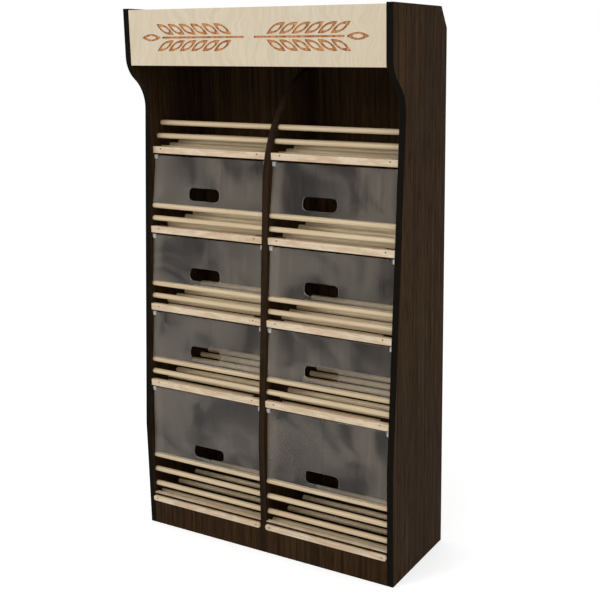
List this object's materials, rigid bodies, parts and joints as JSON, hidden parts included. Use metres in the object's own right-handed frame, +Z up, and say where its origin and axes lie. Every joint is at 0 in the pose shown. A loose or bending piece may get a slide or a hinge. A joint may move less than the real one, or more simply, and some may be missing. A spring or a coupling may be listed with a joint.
{
  "type": "bread display shelf",
  "caption": "Free-standing bakery cabinet with sloping dowel shelves in a pair of bays, front rails, clear top-hinged flap doors and a header board.",
  "frame": {"origin": "on the floor, under the centre of the cabinet's bounding box", "axes": "+Z up, +X to the right as a customer faces the cabinet, +Y from the front to the back"},
  "size_m": [1.1, 0.411, 2],
  "materials": {
    "wenge_laminate": "satin wenge laminate on board, dark banded edges",
    "wenge_hardboard": "thin printed hardboard in the same wenge tone",
    "birch_plywood": "birch face veneer with clear satin lacquer and a scorched routed ornament",
    "beech_lipping": "thin beech edge band",
    "beech_batten": "planed beech, clear lacquer",
    "beech_dowel": "turned beech, clear lacquer",
    "clear_acrylic": "clear cast acrylic with polished edges",
    "clear_polycarbonate": "moulded translucent plastic",
    "blackened_steel": "dark phosphated chipboard screws"
  },
  "bodies": {
    "cabinet": {"back_sheet": "wenge_hardboard", "back_sheet_screws": "blackened_steel", "batten_blocks": "wenge_laminate", "batten_screws": "blackened_steel", "block_screws": "blackened_steel", "centre_divider": "wenge_laminate", "header_board": "birch_plywood", "header_cleat_screws": "blackened_steel", "header_cleats": "wenge_laminate", "hinge_bushes": "clear_polycarbonate", "left_bottom_board": "wenge_laminate", "left_plinth_board": "wenge_laminate", "left_plinth_lath": "beech_batten", "left_side_panel": "wenge_laminate", "plinth_cleats": "wenge_laminate", "plinth_lath_screws": "blackened_steel", "plinth_lippings": "beech_lipping", "right_bottom_board": "wenge_laminate", "right_plinth_board": "wenge_laminate", "right_plinth_lath": "beech_batten", "right_side_panel": "wenge_laminate", "sloping_back_strip": "wenge_hardboard", "tier1_floor_dowels": "beech_dowel", "tier1_front_rails": "beech_dowel", "tier1_left_batten": "beech_batten", "tier1_right_batten": "beech_batten", "tier2_floor_dowels": "beech_dowel", "tier2_front_rails": "beech_dowel", "tier2_left_batten": "beech_batten", "tier2_right_batten": "beech_batten", "tier3_floor_dowels": "beech_dowel", "tier3_front_rails": "beech_dowel", "tier3_left_batten": "beech_batten", "tier3_right_batten": "beech_batten", "tier4_floor_dowels": "beech_dowel", "tier4_front_rails": "beech_dowel", "tier4_left_batten": "beech_batten", "tier4_right_batten": "beech_batten", "tier5_floor_dowels": "beech_dowel", "tier5_front_rails": "beech_dowel", "top_panel": "wenge_laminate", "upper_back_rail": "wenge_laminate"},
    "tier2_left_flap": {"tier2_left_door": "clear_acrylic", "tier2_left_door_clips": "clear_polycarbonate"},
    "tier2_right_flap": {"tier2_right_door": "clear_acrylic", "tier2_right_door_clips": "clear_polycarbonate"},
    "tier3_left_flap": {"tier3_left_door": "clear_acrylic", "tier3_left_door_clips": "clear_polycarbonate"},
    "tier3_right_flap": {"tier3_right_door": "clear_acrylic", "tier3_right_door_clips": "clear_polycarbonate"},
    "tier4_left_flap": {"tier4_left_door": "clear_acrylic", "tier4_left_door_clips": "clear_polycarbonate"},
    "tier4_right_flap": {"tier4_right_door": "clear_acrylic", "tier4_right_door_clips": "clear_polycarbonate"},
    "tier5_left_flap": {"tier5_left_door": "clear_acrylic", "tier5_left_door_clips": "clear_polycarbonate"},
    "tier5_right_flap": {"tier5_right_door": "clear_acrylic", "tier5_right_door_clips": "clear_polycarbonate"}
  },
  "joints": [
    {"name": "tier2_left_flap_hinge", "type": "hinge", "parent": "cabinet", "child": "tier2_left_flap", "pos_m": [-0.26875, -0.0924, 1.463], "axis": [-1, 0, 0], "range_deg": [0, 100]},
    {"name": "tier2_right_flap_hinge", "type": "hinge", "parent": "cabinet", "child": "tier2_right_flap", "pos_m": [0.26875, -0.0924, 1.463], "axis": [-1, 0, 0], "range_deg": [0, 100]},
    {"name": "tier3_left_flap_hinge", "type": "hinge", "parent": "cabinet", "child": "tier3_left_flap", "pos_m": [-0.26875, -0.12588, 1.163], "axis": [-1, 0, 0], "range_deg": [0, 100]},
    {"name": "tier3_right_flap_hinge", "type": "hinge", "parent": "cabinet", "child": "tier3_right_flap", "pos_m": [0.26875, -0.12588, 1.163], "axis": [-1, 0, 0], "range_deg": [0, 100]},
    {"name": "tier4_left_flap_hinge", "type": "hinge", "parent": "cabinet", "child": "tier4_left_flap", "pos_m": [-0.26875, -0.14801, 0.863], "axis": [-1, 0, 0], "range_deg": [0, 100]},
    {"name": "tier4_right_flap_hinge", "type": "hinge", "parent": "cabinet", "child": "tier4_right_flap", "pos_m": [0.26875, -0.14801, 0.863], "axis": [-1, 0, 0], "range_deg": [0, 100]},
    {"name": "tier5_left_flap_hinge", "type": "hinge", "parent": "cabinet", "child": "tier5_left_flap", "pos_m": [-0.26875, -0.17014, 0.563], "axis": [-1, 0, 0], "range_deg": [0, 100]},
    {"name": "tier5_right_flap_hinge", "type": "hinge", "parent": "cabinet", "child": "tier5_right_flap", "pos_m": [0.26875, -0.17014, 0.563], "axis": [-1, 0, 0], "range_deg": [0, 100]}
  ]
}
